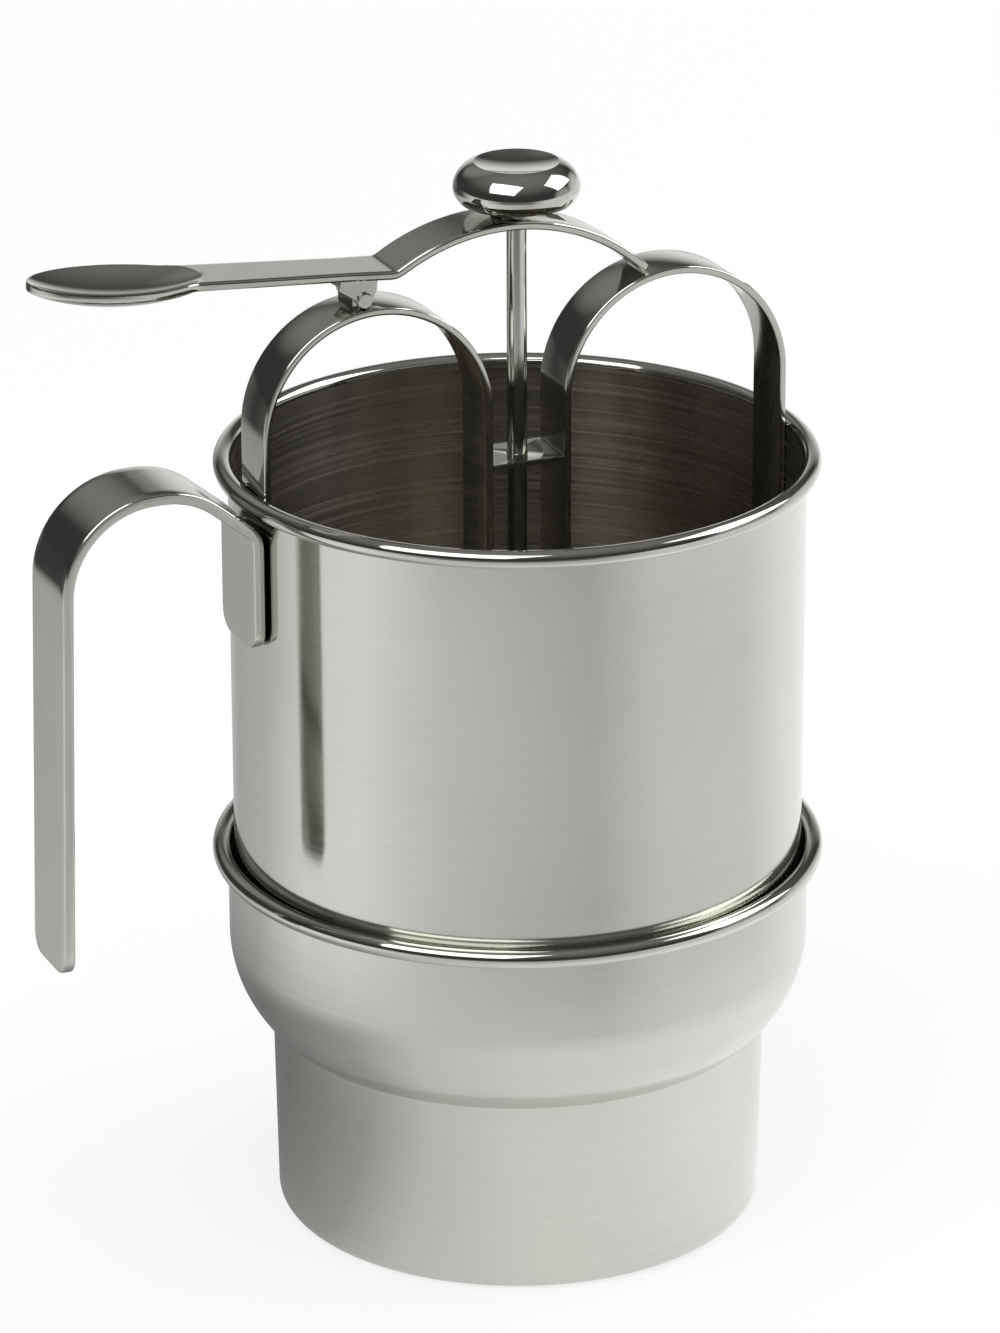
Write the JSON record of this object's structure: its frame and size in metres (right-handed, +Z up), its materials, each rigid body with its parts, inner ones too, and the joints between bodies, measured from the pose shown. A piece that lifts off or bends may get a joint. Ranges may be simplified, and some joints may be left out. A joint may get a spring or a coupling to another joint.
{
  "type": "batter dispenser",
  "caption": "Round steel batter dispenser: a can with a strap handle, a thumb lever that lifts a rod and stopper, and a nesting stand.",
  "frame": {"origin": "centre of the flat underside of the stand's foot", "axes": "+Z up along the common axis of stand, can and rod; -X towards the handle and the thumb spoon"},
  "size_m": [0.1421, 0.1076, 0.1921],
  "materials": {
    "shell_steel": "satin stainless steel, brushed round the axis",
    "strap_steel": "semi-bright stainless strap, brushed along its length",
    "lever_steel": "semi-bright stainless strip with a smooth thumb spoon",
    "rod_steel": "bright drawn stainless rod",
    "knob_steel": "mirror-polished stainless steel",
    "seal_silicone": "matte translucent-white silicone"
  },
  "bodies": {
    "stand": {"stand_shell": "shell_steel"},
    "can": {"can_shell": "shell_steel", "outlet_nozzle": "shell_steel", "handle": "strap_steel", "strap_frame": "strap_steel", "guide_shelf": "strap_steel", "hinge_barrel": "strap_steel"},
    "lever": {"lever": "lever_steel", "lever_bracket": "strap_steel", "pivot_pin": "strap_steel"},
    "plunger": {"plunger_rod": "rod_steel", "knob": "knob_steel", "seal_plug": "seal_silicone", "stopper_cap": "rod_steel", "stopper_nut": "rod_steel"}
  },
  "joints": [
    {"name": "can_lift", "type": "slide", "parent": "stand", "child": "can", "axis": [0, 0, 1], "range_m": [0, 0.08]},
    {"name": "rod_lift", "type": "slide", "parent": "can", "child": "plunger", "axis": [0, 0, 1], "range_m": [0, 0.0093]},
    {"name": "lever_tilt", "type": "hinge", "parent": "can", "child": "lever", "pos_m": [-0.03, 0, 0.17264], "axis": [0, -1, 0], "range_deg": [0, 18]}
  ],
  "couplings": [
    {"joint": "lever_tilt", "follows": "rod_lift", "rad_per_m": 33.6}
  ]
}
